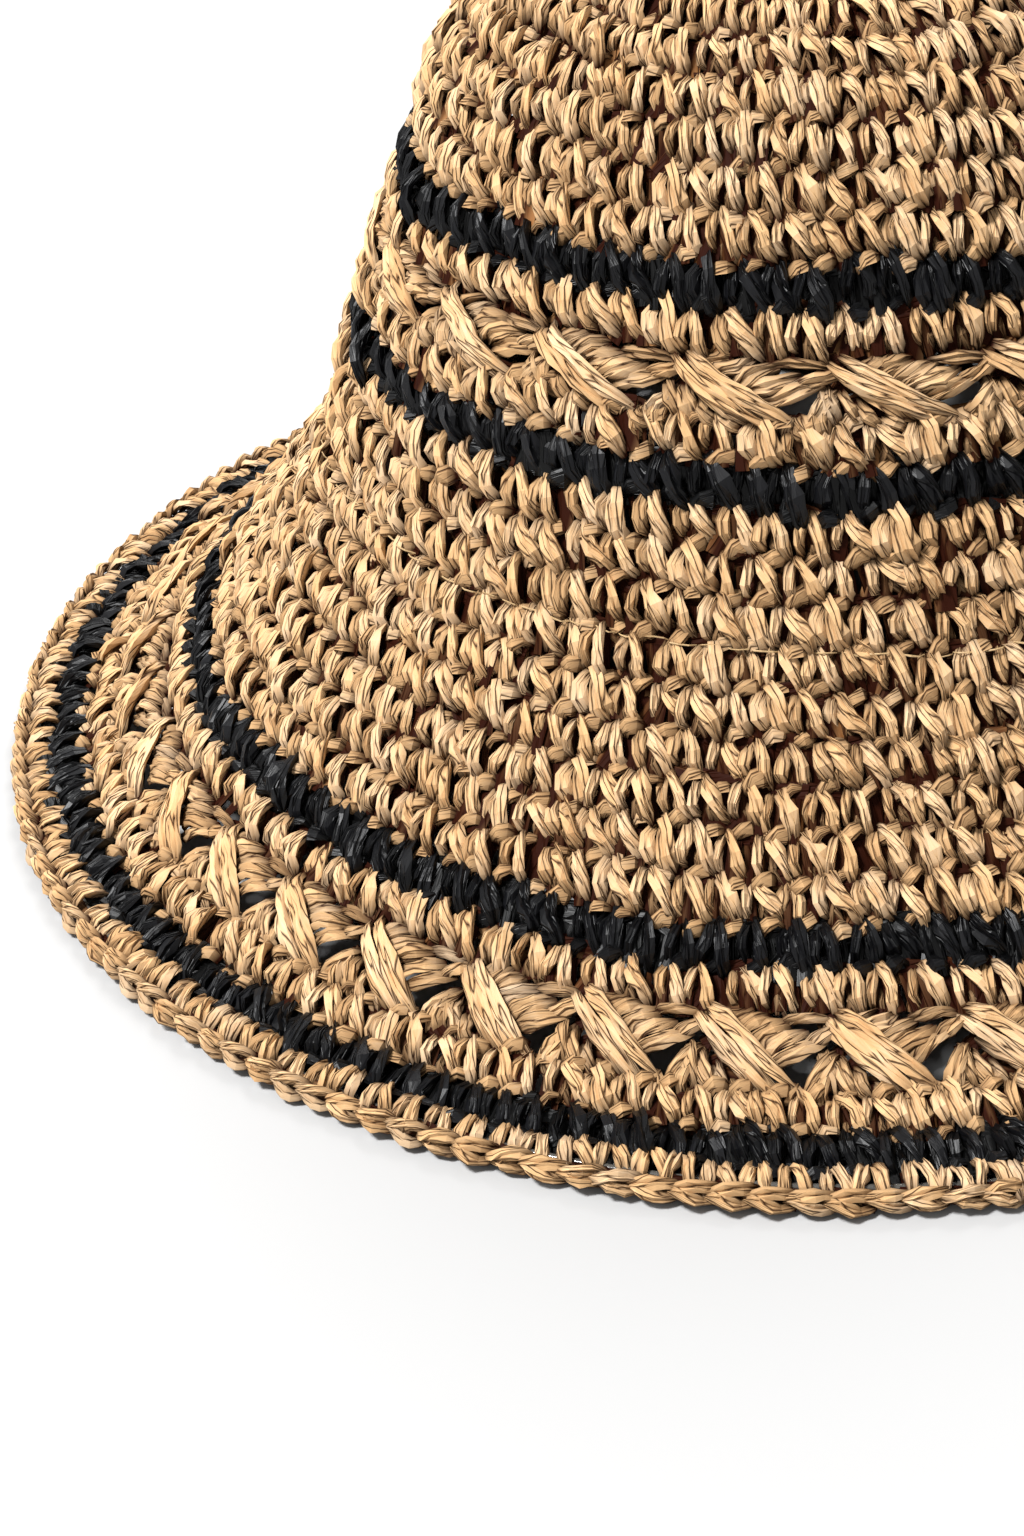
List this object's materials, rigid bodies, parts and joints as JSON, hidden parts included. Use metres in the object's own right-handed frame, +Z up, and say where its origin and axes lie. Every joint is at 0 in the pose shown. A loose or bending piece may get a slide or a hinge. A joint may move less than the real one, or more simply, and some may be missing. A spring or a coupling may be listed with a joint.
{
  "type": "crocheted straw bucket hat",
  "caption": "Soft crocheted straw hat with a rounded crown, a short flared brim, dark stripes, openwork bands and an inner ribbon.",
  "frame": {"origin": "on the plane that the rim rests on, at the hat's axis", "axes": "+Z up along the hat's axis, through the middle of the crown; -Y is the side that the picture shows"},
  "size_m": [0.3196, 0.3196, 0.1626],
  "materials": {
    "natural_straw": "crocheted flat paper straw, natural tan with a soft sheen",
    "dark_straw": "crocheted flat paper straw, dyed near black, with a soft sheen",
    "clear_wire": "clear extruded plastic line",
    "ribbon": "woven ribbed ribbon, dark grey"
  },
  "bodies": {
    "root": {"crown_tip": "natural_straw", "crown_shoulder": "natural_straw", "crown_stripe_upper": "dark_straw", "crown_openwork": "natural_straw", "crown_stripe_lower": "dark_straw", "crown_flare": "natural_straw", "brim_stripe_upper": "dark_straw", "brim_openwork": "natural_straw", "brim_stripe_lower": "dark_straw", "brim_last_round": "natural_straw", "brim_wire": "clear_wire", "rim_plait": "natural_straw", "sweatband": "ribbon"}
  },
  "joints": []
}
